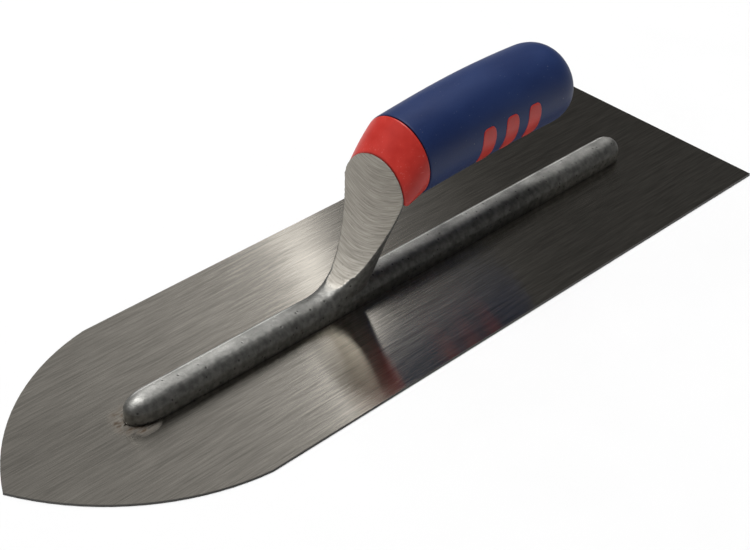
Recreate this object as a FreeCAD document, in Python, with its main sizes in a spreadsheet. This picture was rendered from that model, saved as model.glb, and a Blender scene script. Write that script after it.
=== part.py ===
"""Pointed flooring trowel: spring-steel blade, one-piece cast aluminium mounting and soft-grip handle.

Frame: millimetres, +Z up. The origin is the centre of the blade's underside, the nose points to -Y,
the heel is at +Y and X runs across. The handle's own axis rises a little towards the heel.
"""
import FreeCAD, Part
import math
import os

import Sketcher

Vector = FreeCAD.Vector

DIMENSIONS = {
    # blade
    "blade_length": 406.4,
    "blade_width": 114.3,
    "blade_thickness": 1.0,
    "nose_length": 82.4,
    "nose_radius": 110.9,
    # rib of the mounting, standing on the blade
    "rib_front": -145.5,
    "rib_rear": 165.0,
    "rib_width": 14.0,
    "rib_height": 10.2,
    "rib_edge_radius": 5.0,
    "rib_nose_run": 13.0,
    # neck: a foot arc off the rib runs into the long arc of the front face, which ends upright
    "face_top_y": -11.0,
    "face_bend_z": 62.0,
    "face_radius": 72.0,
    "foot_radius": 28.0,
    "neck_shoulder": 1.5,
    "neck_flank_share": 0.4,
    "neck_flank_depth": 0.6,
    "neck_keel_share": 0.6,
    # half disc at the top of the front face, where the collar's rim meets the neck
    "rim_radius": 17.1,
    "rim_centre_z": 52.2,
    "rim_thickness": 0.8,
    "rim_flattening": 0.3,
    # oblique seat between the neck and the underside of the collar
    "seat_front_y": -11.0,
    "seat_front_z": 53.5,
    "seat_rear_y": 6.0,
    "seat_rear_z": 47.0,
    "seat_reach": 60.0,
    # handle axis: a point on it, and its rise towards the heel in degrees
    "handle_y": 3.0,
    "handle_z": 64.0,
    "handle_rise": 1.85,
    # grip, with its stations measured along the handle axis from its front edge
    "grip_length": 102.5,
    "grip_straight": 84.0,
    "belly_share": 0.45,
    "grip_front_radius": 18.7,
    "grip_belly_radius": 20.2,
    "grip_rear_radius": 19.5,
    "grip_front_bow": 600.0,
    "grip_rear_bow": 700.0,
    "grip_wall": 3.4,
    "grip_seam": 0.4,
    "core_end": 95.0,
    "shoulder_station": 95.0,
    "shoulder_radius": 18.2,
    "shoulder_bow": 78.6,
    "dome_corner_station": 100.9,
    "dome_corner_radius": 13.18,
    "dome_bend_radius": 7.84,
    "dome_end_radius": 20.1,
    "dome_flat_drop": 0.4,
    # boss and tang of the mounting, inside the core
    "collar_wall": 5.0,
    "fit_gap": 0.05,
    "tang_radius": 6.5,
    "tang_start": -5.0,
    "tang_end": 62.0,
    # bolt that draws the handle onto the tang, its washer and the plug over it
    "bolt_radius": 3.0,
    "bolt_gap": 0.2,
    "bolt_tip": 44.0,
    "bolt_seat": 74.0,
    "bolt_head_start": 75.6,
    "bolt_head_radius": 5.0,
    "bolt_head_height": 6.0,
    "washer_radius": 6.8,
    "washer_thickness": 1.6,
    "access_radius": 7.0,
    "plug_length": 12.0,
    # rivets
    "rivet_count": 8,
    "rivet_first_y": -132.0,
    "rivet_pitch": 40.0,
    "rivet_radius": 2.4,
    "rivet_head_radius": 3.4,
    "rivet_length": 8.6,
}

# The neck's sections in millimetres, from the foot up: half width of the flat front edge, of the body
# just behind it and of the keel at the back, then the depth from front to keel.
NECK_SECTIONS = [
    (2.0, 6.6, 5.0, 8.5),
    (2.9, 6.8, 5.5, 10.0),
    (4.6, 7.2, 6.0, 13.0),
    (6.5, 8.0, 6.5, 15.5),
    (8.6, 9.5, 6.5, 14.5),
    (10.8, 11.3, 6.5, 13.5),
    (13.0, 13.3, 6.5, 13.5),
    (15.2, 15.4, 6.5, 15.0),
    (16.9, 17.1, 6.5, 17.5),
    (17.3, 17.5, 6.5, 19.0),
]
# the first sections stand along the foot arc, the others along the arc of the face
FOOT_SECTIONS = 4
FACE_SECTIONS = len(NECK_SECTIONS) - FOOT_SECTIONS

doc = FreeCAD.newDocument("flooring_trowel")
sheet = doc.addObject("Spreadsheet::Sheet", "Sheet")
for row, (alias, value) in enumerate(DIMENSIONS.items(), start=1):
    sheet.set(f"A{row}", alias)
    sheet.set(f"B{row}", str(value))
    sheet.setAlias(f"B{row}", alias)
doc.recompute()


def size(expression):
    """Value of an expression written in the sheet's aliases."""
    return float(sheet.evalExpression(expression))


def linked(expression):
    """The same expression as another object reads it: each alias gets the sheet's name."""
    words = []
    for word in expression.split():
        words.append(f"Sheet.{word}" if word in DIMENSIONS else word)
    return " ".join(words)


# ---------------------------------------------------------------------------------------------
# sketching helpers


def arc_between(start, end, radius):
    """Arc from start to end and the sketch positions of its two ends; a positive radius turns left."""
    chord = end - start
    left = Vector(-chord.y, chord.x, 0).normalize()
    offset = math.sqrt(radius ** 2 - (chord.Length / 2) ** 2)
    centre = (start + end) * 0.5 + left * math.copysign(offset, radius)
    circle = Part.Circle(centre, Vector(0, 0, 1), abs(radius))
    angles = [math.atan2(p.y - centre.y, p.x - centre.x) for p in (start, end)]
    if radius > 0:
        return Part.ArcOfCircle(circle, angles[0], angles[1]), 1, 2
    return Part.ArcOfCircle(circle, angles[1], angles[0]), 2, 1


def new_sketch(body, name, plane_role):
    """Empty sketch on one of the body's own origin planes."""
    sketch = body.newObject("Sketcher::SketchObject", name)
    plane = next(f for f in body.Origin.OriginFeatures if f.Role == plane_role)
    sketch.AttachmentSupport = [(plane, "")]
    sketch.MapMode = "FlatFace"
    return sketch


def draw_outline(sketch, corners):
    """Closed outline through the corners, each pinned to the sheet.

    A corner is (x, y) or (x, y, radius): two expressions, and the radius of the arc to the next corner.
    """
    points = [Vector(size(corner[0]), size(corner[1]), 0) for corner in corners]
    ends = []
    for index, corner in enumerate(corners):
        start = points[index]
        end = points[(index + 1) % len(points)]
        if len(corner) == 3:
            edge, first, last = arc_between(start, end, size(corner[2]))
        else:
            edge, first, last = Part.LineSegment(start, end), 1, 2
        ends.append((sketch.addGeometry(edge, False), first, last))
    for index, corner in enumerate(corners):
        geometry, first, last = ends[index]
        following, following_first, _ = ends[(index + 1) % len(ends)]
        sketch.addConstraint(Sketcher.Constraint("Coincident", geometry, last, following, following_first))
        for axis, coordinate in (("DistanceX", points[index].x), ("DistanceY", points[index].y)):
            pin = Sketcher.Constraint(axis, -1, 1, geometry, first, coordinate)
            number = sketch.addConstraint(pin)
            expression = corner[0] if axis == "DistanceX" else corner[1]
            sketch.setExpression(f"Constraints[{number}]", linked(expression))
        if len(corner) == 3:
            bend = Sketcher.Constraint("Radius", geometry, abs(size(corner[2])))
            number = sketch.addConstraint(bend)
            sketch.setExpression(f"Constraints[{number}]", linked(f"abs( {corner[2]} )"))


def new_body(name):
    body = doc.addObject("PartDesign::Body", name)
    body.Label = name
    return body


def pad_outline(body, name, plane_role, corners, length):
    """Pad of a closed outline, its length linked to the sheet."""
    sketch = new_sketch(body, f"{name}_outline", plane_role)
    draw_outline(sketch, corners)
    pad = body.newObject("PartDesign::Pad", name)
    pad.Profile = sketch
    pad.setExpression("Length", linked(length))
    doc.recompute()
    return pad


def revolve_outline(body, name, corners, axis="H_Axis"):
    """Solid of revolution: the outline is drawn in the YZ plane and turned about one of its axes."""
    sketch = new_sketch(body, f"{name}_profile", "YZ_Plane")
    draw_outline(sketch, corners)
    turned = body.newObject("PartDesign::Revolution", name)
    turned.Profile = sketch
    turned.ReferenceAxis = (sketch, [axis])
    turned.Angle = 360
    doc.recompute()
    return turned


def place_on_handle(item):
    """Moves a piece built about the Y axis onto the handle's axis."""
    item.Placement = FreeCAD.Placement(Vector(), FreeCAD.Rotation(Vector(1, 0, 0), size("handle_rise")))
    item.setExpression("Placement.Base.y", linked("handle_y"))
    item.setExpression("Placement.Base.z", linked("handle_z"))
    item.setExpression("Placement.Rotation.Angle", linked("handle_rise"))


# ---------------------------------------------------------------------------------------------
# blade and rivets


def make_blade():
    """Flat plate with a pointed nose of two arcs, a square heel and a row of countersunk holes."""
    body = new_body("blade")
    pad_outline(body, "plate", "XY_Plane", [
        ("blade_width / 2", "blade_length / 2"),
        ("-1 * blade_width / 2", "blade_length / 2"),
        ("-1 * blade_width / 2", "nose_length - blade_length / 2", "nose_radius"),
        ("0", "-1 * blade_length / 2", "nose_radius"),
        ("blade_width / 2", "nose_length - blade_length / 2"),
    ], "blade_thickness")

    # the plane's normal points to -Y, so the offset is the first hole's place with its sign turned
    profile = new_sketch(body, "rivet_hole_profile", "XZ_Plane")
    profile.setExpression("AttachmentOffset.Base.z", linked("-1 * rivet_first_y"))
    draw_outline(profile, [
        ("0", "0"),
        ("rivet_head_radius", "0"),
        ("rivet_radius", "blade_thickness"),
        ("0", "blade_thickness"),
    ])
    doc.recompute()
    solid_plate = body.Shape.Volume
    hole = body.newObject("PartDesign::Groove", "rivet_hole")
    hole.Profile = profile
    hole.ReferenceAxis = (profile, ["V_Axis"])
    hole.Angle = 360
    doc.recompute()
    one_hole = solid_plate - body.Shape.Volume

    row_of_holes = body.newObject("PartDesign::LinearPattern", "rivet_holes")
    row_of_holes.Originals = [hole]
    length_axis = next(f for f in body.Origin.OriginFeatures if f.Role == "Y_Axis")
    row_of_holes.Direction = (length_axis, [""])
    row_of_holes.setExpression("Length", linked("rivet_pitch * ( rivet_count - 1 )"))
    row_of_holes.setExpression("Occurrences", linked("rivet_count"))
    body.Tip = row_of_holes
    doc.recompute()
    all_holes = solid_plate - body.Shape.Volume
    if one_hole <= 0 or abs(all_holes - size("rivet_count") * one_hole) > 0.01 * all_holes:
        raise RuntimeError("the rivet holes are not all cut")
    return body


def make_rivets():
    """Identical steel rivets: a flush countersunk head in the blade, a plain shank up in the rib."""
    rivets = []
    for index in range(int(size("rivet_count"))):
        body = new_body(f"blade_rivet_{index + 1}")
        revolve_outline(body, f"rivet_{index + 1}", [
            ("0", "0"),
            ("rivet_head_radius", "0"),
            ("rivet_radius", "blade_thickness"),
            ("rivet_radius", "rivet_length"),
            ("0", "rivet_length"),
        ], axis="V_Axis")
        body.setExpression("Placement.Base.y", linked(f"rivet_first_y + {index} * rivet_pitch"))
        rivets.append(body)
    return rivets


# ---------------------------------------------------------------------------------------------
# mounting: rib, neck and tang, one casting


def rib_section():
    """Half of the rib's cross-section in the XZ plane: flat base, upright side, rounded top edge."""
    half = size("rib_width / 2")
    foot = size("blade_thickness")
    top = foot + size("rib_height")
    edge = size("rib_edge_radius")
    bend = edge * math.sin(math.radians(45))
    corner = Vector(half - edge, 0, top - edge)
    side_end = corner + Vector(edge, 0, 0)
    top_start = corner + Vector(0, 0, edge)
    middle = corner + Vector(bend, 0, bend)
    edges = [
        Part.LineSegment(Vector(0, 0, foot), Vector(half, 0, foot)).toShape(),
        Part.LineSegment(Vector(half, 0, foot), side_end).toShape(),
        Part.Arc(side_end, middle, top_start).toShape(),
        Part.LineSegment(top_start, Vector(0, 0, top)).toShape(),
        Part.LineSegment(Vector(0, 0, top), Vector(0, 0, foot)).toShape(),
    ]
    return Part.Face(Part.Wire(edges))


def rib_end(section, direction, stretch):
    """Rounded end: the half section turned through half a circle, then drawn out along the rib."""
    dome = section.revolve(Vector(), Vector(0, 0, 1), 180 * direction)
    drawn = FreeCAD.Matrix()
    drawn.scale(1, stretch, 1)
    return dome.transformGeometry(drawn)


def rib_shape():
    """Long bar with a flattened round top, a drawn-out nose and a blunt rear end."""
    half = size("rib_width / 2")
    nose = size("rib_nose_run")
    front = size("rib_front") + nose
    rear = size("rib_rear") - half
    section = rib_section()
    other_half = section.mirror(Vector(), Vector(1, 0, 0))
    bar = section.fuse(other_half).removeSplitter().extrude(Vector(0, rear - front, 0))
    bar.translate(Vector(0, front, 0))
    nose_end = rib_end(section, -1, nose / half)
    nose_end.translate(Vector(0, front, 0))
    rear_end = rib_end(section, 1, 1)
    rear_end.translate(Vector(0, rear, 0))
    return bar.fuse([nose_end, rear_end]).removeSplitter()


def front_curve():
    """Points of the neck's front with the outward direction there, from the rib up to the collar.

    The foot arc leaves the top of the rib and runs into the long arc of the face, which ends upright.
    """
    face_radius = size("face_radius")
    foot_radius = size("foot_radius")
    face_centre = Vector(0, size("face_top_y") - face_radius, size("face_bend_z"))
    foot_height = size("blade_thickness + rib_height") + foot_radius
    drop = face_centre.z - foot_height
    foot_centre = Vector(0, face_centre.y + math.sqrt((face_radius - foot_radius) ** 2 - drop ** 2),
                         foot_height)
    meeting = math.degrees(math.acos(drop / (face_radius - foot_radius)))
    foot_turns = [meeting * step / FOOT_SECTIONS for step in range(FOOT_SECTIONS)]
    face_turns = [meeting + (90 - meeting) * step / (FACE_SECTIONS - 1) for step in range(FACE_SECTIONS)]
    stations = []
    for turn in foot_turns + face_turns:
        centre, radius = (foot_centre, foot_radius) if turn <= meeting else (face_centre, face_radius)
        outward = Vector(0, -math.sin(math.radians(turn)), math.cos(math.radians(turn)))
        stations.append((centre - outward * radius, outward))
    return stations


def neck_section(front, outward, face_half, body_half, keel_half, depth):
    """Closed section of the neck: a flat front edge and a rounded back that narrows to a keel."""
    flank = [
        (face_half, 0),
        (body_half, size("neck_shoulder")),
        (keel_half + size("neck_flank_share") * (body_half - keel_half), size("neck_flank_depth") * depth),
        (size("neck_keel_share") * keel_half, depth),
    ]
    poles = flank + [(-across, inward) for across, inward in reversed(flank)]
    back = Part.BSplineCurve()
    back.buildFromPoles([front + Vector(x, 0, 0) - outward * d for x, d in poles], False, 3)
    closing = Part.LineSegment(back.EndPoint, back.StartPoint)
    return Part.Wire([back.toShape(), closing.toShape()])


def above_seat():
    """Everything above the oblique seat, where the neck ends and the underside of the collar begins."""
    front = Vector(0, size("seat_front_y"), size("seat_front_z"))
    rear = Vector(0, size("seat_rear_y"), size("seat_rear_z"))
    along = (rear - front).normalize()
    reach = size("seat_reach")
    upwards = Vector(0, -along.z, along.y) * reach
    start = front - along * reach
    end = front + along * reach
    corners = [start, end, end + upwards, start + upwards, start]
    slab = Part.Face(Part.makePolygon(corners)).extrude(Vector(2 * reach, 0, 0))
    slab.translate(Vector(-reach, 0, 0))
    return slab


def along_handle(shape):
    """Moves a shape built about the Y axis onto the handle's axis."""
    shape.rotate(Vector(), Vector(1, 0, 0), size("handle_rise"))
    shape.translate(Vector(0, size("handle_y"), size("handle_z")))
    return shape


def handle_rod(radius, start, end):
    """Round bar about the handle's axis between two stations."""
    return along_handle(Part.makeCylinder(size(radius), size(end) - size(start),
                                          Vector(0, size(start), 0), Vector(0, 1, 0)))


def collar_ring(centre, radius, lower_radius):
    """Upright ring of two halves that meet level with its centre: round above, flattened below."""
    right = centre + Vector(radius, 0, 0)
    left = centre - Vector(radius, 0, 0)
    upper = Part.Arc(left, centre + Vector(0, 0, radius), right)
    oval = Part.Ellipse(right, centre - Vector(0, 0, lower_radius), centre)
    lower = Part.ArcOfEllipse(oval, 0, math.pi)
    return Part.Wire([upper.toShape(), lower.toShape()])


def oblique_cone(front_radius, rear_radius):
    """Cone above the seat, from the flat-bottomed rim back to the round front edge of the grip."""
    rim_centre = Vector(0, size("face_top_y + rim_thickness"), size("rim_centre_z"))
    rim_radius = size(front_radius)
    mouth_radius = size(rear_radius)
    # an ellipse needs two different radii, so the round end is a hair less than round
    almost_round = mouth_radius - size("fit_gap") / 10
    rim = collar_ring(rim_centre, rim_radius, rim_radius * size("rim_flattening"))
    mouth = along_handle(collar_ring(Vector(), mouth_radius, almost_round))
    return Part.makeLoft([rim, mouth], True, True).common(above_seat())


def rim_disc():
    """Top of the neck's front face: a half disc whose edge the collar's rim meets."""
    disc = Part.makeCylinder(size("rim_radius"), size("rim_thickness"),
                             Vector(0, size("face_top_y"), size("rim_centre_z")), Vector(0, 1, 0))
    return disc.common(above_seat())


def neck_shape():
    """Neck lofted from the rib's foot to the seat, with the half disc and the boss that carry the handle."""
    wires = []
    for (front, outward), measures in zip(front_curve(), NECK_SECTIONS, strict=True):
        wires.append(neck_section(front, outward, *measures))
    return Part.makeLoft(wires, True, False).cut(above_seat())


def mounting_shape():
    """Rib, neck, half disc, boss and tang as one casting, drilled for the rivets and tapped for the bolt."""
    boss = oblique_cone("rim_radius - collar_wall", "grip_front_radius - collar_wall")
    tang = handle_rod("tang_radius", "tang_start", "tang_end")
    casting = rib_shape().fuse([neck_shape(), rim_disc(), boss, tang]).removeSplitter()
    for index in range(int(size("rivet_count"))):
        base = Vector(0, size("rivet_first_y") + index * size("rivet_pitch"), size("blade_thickness"))
        casting = casting.cut(Part.makeCylinder(size("rivet_radius"),
                                                size("rivet_length - blade_thickness"), base))
    return casting.cut(handle_rod("bolt_radius", "bolt_tip", "tang_end"))


def make_mounting():
    feature = doc.addObject("Part::Feature", "mounting_casting")
    feature.Label = "mounting"
    feature.Shape = mounting_shape()
    return feature


# ---------------------------------------------------------------------------------------------
# handle: core with its collar, soft sleeve, bolt, washer and plug


def core_shape():
    """Hard core: collar in front, a barrel inside the grip, the socket for the tang and the bolt's way in."""
    barrel = handle_rod("grip_belly_radius - grip_wall", "0", "core_end")
    collar = oblique_cone("rim_radius", "grip_front_radius - grip_seam")
    core = collar.fuse(barrel).removeSplitter()
    hollows = [
        oblique_cone("rim_radius - collar_wall + fit_gap", "grip_front_radius - collar_wall + fit_gap"),
        handle_rod("tang_radius + fit_gap", "tang_start", "tang_end + fit_gap"),
        handle_rod("bolt_radius + bolt_gap", "tang_end", "bolt_seat"),
        handle_rod("access_radius", "bolt_seat", "core_end"),
    ]
    for hollow in hollows:
        core = core.cut(hollow)
    return core


def make_core():
    feature = doc.addObject("Part::Feature", "core_moulding")
    feature.Label = "handle_core"
    feature.Shape = core_shape()
    return feature


def make_sleeve():
    """Soft sleeve: a barrel with a slight belly and a rounded rear end, open in front and at the plug."""
    body = new_body("grip_sleeve")
    revolve_outline(body, "sleeve", [
        ("0", "grip_belly_radius - grip_wall"),
        ("core_end", "grip_belly_radius - grip_wall"),
        ("core_end", "access_radius"),
        ("grip_length - dome_flat_drop", "access_radius", "dome_end_radius"),
        ("dome_corner_station", "dome_corner_radius", "dome_bend_radius"),
        ("shoulder_station", "shoulder_radius", "shoulder_bow"),
        ("grip_straight", "grip_rear_radius", "grip_rear_bow"),
        ("belly_share * grip_straight", "grip_belly_radius", "grip_front_bow"),
        ("0", "grip_front_radius"),
    ])
    place_on_handle(body)
    return body


def make_bolt():
    """Socket-head bolt, its thread taken as a plain rod of the nominal diameter."""
    body = new_body("handle_bolt")
    revolve_outline(body, "bolt", [
        ("bolt_tip", "0"),
        ("bolt_head_start + bolt_head_height", "0"),
        ("bolt_head_start + bolt_head_height", "bolt_head_radius"),
        ("bolt_head_start", "bolt_head_radius"),
        ("bolt_head_start", "bolt_radius"),
        ("bolt_tip", "bolt_radius"),
    ])
    place_on_handle(body)
    return body


def make_washer():
    body = new_body("bolt_washer")
    revolve_outline(body, "washer", [
        ("bolt_seat", "bolt_radius + bolt_gap"),
        ("bolt_seat + washer_thickness", "bolt_radius + bolt_gap"),
        ("bolt_seat + washer_thickness", "washer_radius"),
        ("bolt_seat", "washer_radius"),
    ])
    place_on_handle(body)
    return body


def make_plug():
    """Plug that closes the bolt's way in, flush with the rounded end of the sleeve."""
    body = new_body("end_plug")
    revolve_outline(body, "plug", [
        ("grip_length - plug_length", "0"),
        ("grip_length", "0"),
        ("grip_length - dome_flat_drop", "access_radius"),
        ("grip_length - plug_length", "access_radius"),
    ])
    place_on_handle(body)
    return body


blade = make_blade()
rivets = make_rivets()
mounting = make_mounting()
core = make_core()
nodes = [blade, mounting, core, make_sleeve(), make_bolt(), make_washer(), make_plug()] + rivets


# ---------------------------------------------------------------------------------------------
# check and write

doc.recompute()
for item in doc.Objects:
    if "Invalid" in item.State or "Error" in item.State:
        raise RuntimeError(f"{item.Name} did not build: {item.State}")
os.makedirs("parts", exist_ok=True)
for node in nodes:
    shape = node.Shape
    if shape.isNull() or not shape.isValid() or not shape.Solids:
        raise RuntimeError(f"{node.Label} has no valid shape")
    shape.exportStep(f"parts/{node.Label}.step")
    print(f"{node.Label}: {len(shape.Solids)} solid, {shape.Volume / 1000:.2f} cm3, {shape.BoundBox}")
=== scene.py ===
"""Looks of the pointed flooring trowel: surfaces, floor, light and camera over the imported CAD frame."""

import math

import bmesh
import bpy
import numpy as np
from mathutils import Matrix, Vector, noise


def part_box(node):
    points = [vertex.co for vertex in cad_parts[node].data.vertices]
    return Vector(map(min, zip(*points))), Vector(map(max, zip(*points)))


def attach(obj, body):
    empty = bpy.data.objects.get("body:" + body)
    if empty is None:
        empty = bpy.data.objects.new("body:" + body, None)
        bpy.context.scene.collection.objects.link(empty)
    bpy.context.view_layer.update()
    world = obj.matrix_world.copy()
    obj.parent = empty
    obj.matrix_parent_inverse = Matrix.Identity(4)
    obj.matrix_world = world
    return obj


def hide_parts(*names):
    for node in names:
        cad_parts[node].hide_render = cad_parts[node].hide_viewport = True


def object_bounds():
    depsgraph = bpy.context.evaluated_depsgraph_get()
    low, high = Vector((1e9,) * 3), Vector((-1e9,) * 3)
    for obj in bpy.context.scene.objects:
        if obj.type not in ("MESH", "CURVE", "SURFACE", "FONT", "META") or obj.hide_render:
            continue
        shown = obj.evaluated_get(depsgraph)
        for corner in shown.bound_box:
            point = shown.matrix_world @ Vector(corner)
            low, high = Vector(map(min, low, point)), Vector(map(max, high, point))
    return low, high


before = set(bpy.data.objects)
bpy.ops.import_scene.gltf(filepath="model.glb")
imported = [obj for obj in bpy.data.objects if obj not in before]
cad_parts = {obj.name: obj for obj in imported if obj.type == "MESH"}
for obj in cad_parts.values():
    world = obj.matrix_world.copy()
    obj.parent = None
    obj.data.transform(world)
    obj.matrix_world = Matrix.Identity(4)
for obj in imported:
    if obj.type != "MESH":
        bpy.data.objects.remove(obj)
cad_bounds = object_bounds()

MM = 0.001
FULL_TURN = 2 * math.pi
QUARTER_TURN = math.pi / 2
ORIGIN = Vector((0, 0, 0))
ACROSS = Vector((1, 0, 0))


# ---------------------------------------------------------------------------------------------
# measures read from the CAD frame, in metres

RIB_HEIGHT = 10.2 * MM


def read_points(mesh):
    """Positions of a mesh's vertices, one row each."""
    flat = np.empty(len(mesh.vertices) * 3)
    mesh.vertices.foreach_get("co", flat)
    return flat.reshape(-1, 3)


def middle(node):
    """Centre of a node's box."""
    low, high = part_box(node)
    return (Vector(low) + Vector(high)) / 2


# The washer and the plug both sit on the handle's axis.
handle_axis = (middle("end_plug") - middle("bolt_washer")).normalized()
handle_up = ACROSS.cross(handle_axis)
sleeve_points = read_points(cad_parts["grip_sleeve"].data)
sleeve_stations = (sleeve_points - np.array(middle("end_plug"))) @ np.array(handle_axis)
handle_start = middle("end_plug") + handle_axis * sleeve_stations.min()
grip_length = float(np.ptp(sleeve_stations))
plug_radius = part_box("end_plug")[1][0]

blade_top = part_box("blade")[1][2]
rib_top = RIB_HEIGHT + blade_top
rib_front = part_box("mounting")[0][1]


# ---------------------------------------------------------------------------------------------
# mesh helpers

SOFTENING = 0.5


def link(name, data):
    """New object of that name in the scene: a mesh, a light or a camera."""
    item = bpy.data.objects.new(name, data)
    bpy.context.scene.collection.objects.link(item)
    return item


def smooth(mesh):
    mesh.polygons.foreach_set("use_smooth", [True] * len(mesh.polygons))
    mesh.update()


def tube_faces(rows, columns):
    """Quads of a closed tube: each row is a ring of vertices, and each ring joins the next."""
    return [
        (row * columns + column, row * columns + (column + 1) % columns,
         (row + 1) * columns + (column + 1) % columns, (row + 1) * columns + column)
        for row in range(rows - 1) for column in range(columns)
    ]


def tube(name, rings):
    """Smooth tube through the rings, which all have the same number of points."""
    columns = len(rings[0])
    mesh = bpy.data.meshes.new(name)
    mesh.from_pydata([point for ring in rings for point in ring], [], tube_faces(len(rings), columns))
    smooth(mesh)
    return link(name, mesh)


def close_end(piece, ring_index, columns):
    """Closes one ring of a tube with a single face."""
    work = bmesh.new()
    work.from_mesh(piece.data)
    work.verts.ensure_lookup_table()
    work.faces.new([work.verts[ring_index * columns + column] for column in range(columns)])
    bmesh.ops.recalc_face_normals(work, faces=work.faces)
    work.to_mesh(piece.data)
    work.free()


def apply_modifiers(piece):
    """Keeps the shape that the piece's modifiers give, and drops the modifiers."""
    evaluated = piece.evaluated_get(bpy.context.evaluated_depsgraph_get())
    mesh = bpy.data.meshes.new_from_object(evaluated)
    piece.modifiers.clear()
    piece.data = mesh


def remeshed(name, node, voxel, rounds):
    """Copy of a CAD solid in even small quads, its edges softened as they are on a casting."""
    piece = link(name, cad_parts[node].data.copy())
    piece.data.materials.clear()
    grid = piece.modifiers.new("grid", "REMESH")
    grid.mode = "VOXEL"
    grid.voxel_size = voxel
    soft = piece.modifiers.new("soft", "SMOOTH")
    soft.factor = SOFTENING
    soft.iterations = rounds
    apply_modifiers(piece)
    return piece


def read_normals(mesh):
    """Outward directions at a mesh's vertices, one row each."""
    flat = np.empty(len(mesh.vertices) * 3)
    mesh.vertex_normals.foreach_get("vector", flat)
    return flat.reshape(-1, 3)


def write_points(mesh, points):
    mesh.vertices.foreach_set("co", points.ravel())
    mesh.update()


def write_mask(mesh, name, values):
    """Stores one number per vertex, which a material reads by its name."""
    mesh.attributes.new(name, "FLOAT", "POINT").data.foreach_set("value", np.asarray(values, np.float32))


def ramp(values, start, end):
    """0 before start, 1 after end, and smooth between them. start may be the larger one."""
    share = np.clip((values - start) / (end - start), 0, 1)
    return share * share * (3 - 2 * share)


def lumps(points, size, seed):
    """Smooth bumps of about that size at the points, each between -1 and 1."""
    shift = Vector((seed * 17.3, seed * 5.1, seed * 9.7))
    return np.array([noise.noise(Vector(point) / size + shift) for point in points])


# ---------------------------------------------------------------------------------------------
# casting: rib, neck and ground face in one piece of rough aluminium

CASTING_VOXEL = 0.5 * MM
CASTING_ROUNDS = 3

# belt-ground front of the neck, on the same two arcs as in the CAD
FACE_RADIUS = 72 * MM
FACE_BEND_HEIGHT = 62 * MM
FACE_FRONT = -11 * MM
FOOT_RADIUS = 28 * MM
GRIND_DEPTH = 0.45 * MM
GRIND_REACH = 2 * MM
GRIND_LOW = 11.8 * MM
GRIND_FULL = 15.5 * MM

# ball inside which the foot of the neck is smoothed, and how far above the blade that starts
FOOT_MIDDLE = Vector((0, -41, 13)) * MM
FOOT_REACH = 17 * MM
FOOT_CLEARANCE = 1 * MM
FOOT_ROUNDS = 45

# sand-cast skin: the height and the size of its broad dents, of its small dents and of its grain
SKIN_LAYERS = ((0.045 * MM, 10 * MM), (0.018 * MM, 3.4 * MM), (0.02 * MM, 1.4 * MM))
SKIN_START = 0.4 * MM

# crown of the rib: it starts above the blade, is full just below the rib's top, and ends on the neck
RIB_HALF = 7 * MM
RIB_CROWN = 0.9 * MM
CROWN_START = 3 * MM
CROWN_FULL = 2 * MM
CROWN_FADE = 0.5 * MM
NECK_START = 3 * MM

# rubbed crest of the rib, partly a painted highlight: its band round the rib's top, and its middle line,
# which lies off centre
WEAR_HIGHLIGHT_START = 1.6 * MM
WEAR_HIGHLIGHT_FULL = 0.3 * MM
WEAR_HIGHLIGHT_MIDDLE = -2.2 * MM
WEAR_HIGHLIGHT_ACROSS = (6 * MM, 1 * MM)
WEAR_HIGHLIGHT_FROM_FOOT = (4 * MM, 20 * MM)


def ground_face(heights):
    """Y of the belt-ground front at each height: a foot arc off the rib, then a long arc up the neck."""
    foot_height = rib_top + FOOT_RADIUS
    drop = FACE_BEND_HEIGHT - foot_height
    radii = FACE_RADIUS - FOOT_RADIUS
    foot_centre = FACE_FRONT - FACE_RADIUS + math.sqrt(radii ** 2 - drop ** 2)
    meeting = foot_height - FOOT_RADIUS * drop / radii
    foot = foot_centre + np.sqrt(np.maximum(FOOT_RADIUS ** 2 - (foot_height - heights) ** 2, 0))
    below = np.minimum(heights - FACE_BEND_HEIGHT, 0)
    face = FACE_FRONT - FACE_RADIUS + np.sqrt(FACE_RADIUS ** 2 - below ** 2)
    return np.where(heights < meeting, foot, face)


def soften_foot(casting):
    """Rounds the corners where the foot of the neck runs out on the rib, as in a sand mould."""
    work = bmesh.new()
    work.from_mesh(casting.data)
    near = [vertex for vertex in work.verts
            if vertex.co.z > blade_top + FOOT_CLEARANCE and (vertex.co - FOOT_MIDDLE).length < FOOT_REACH]
    for _ in range(FOOT_ROUNDS):
        bmesh.ops.smooth_vert(work, verts=near, factor=SOFTENING,
                              use_axis_x=True, use_axis_y=True, use_axis_z=True)
    work.to_mesh(casting.data)
    work.free()


def cast_skin(points):
    """How far the sand-cast skin stands out at each point."""
    return sum(height * lumps(points, size, seed)
               for seed, (height, size) in enumerate(SKIN_LAYERS, start=1))


def crown_drop(across, height):
    """How far the rib's crowned top drops towards both flanks. across is each point's X."""
    share = np.clip(np.abs(across) / RIB_HALF, 0, 1)
    on_rib = ramp(height, blade_top + CROWN_START, rib_top - CROWN_FULL)
    on_rib = on_rib * ramp(height, rib_top + NECK_START, rib_top + CROWN_FADE)
    return RIB_CROWN * share ** 2 * on_rib


def worn_and_highlit_crest(points, height):
    """Mask of the rubbed band along the rib's top, partly a painted highlight towards its far side, which
    fades out round the neck's foot.
    """
    worn_and_highlight = ramp(height, rib_top - WEAR_HIGHLIGHT_START, rib_top - WEAR_HIGHLIGHT_FULL)
    worn_and_highlight = worn_and_highlight * ramp(height, rib_top + NECK_START, rib_top + WEAR_HIGHLIGHT_FULL)
    # the band leans to the rib's far side, where a highlight is painted
    worn_and_highlight = worn_and_highlight * ramp(np.abs(points[:, 0] - WEAR_HIGHLIGHT_MIDDLE), *WEAR_HIGHLIGHT_ACROSS)
    return worn_and_highlight * ramp(np.abs(points[:, 1] - FOOT_MIDDLE.y), *WEAR_HIGHLIGHT_FROM_FOOT)


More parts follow.
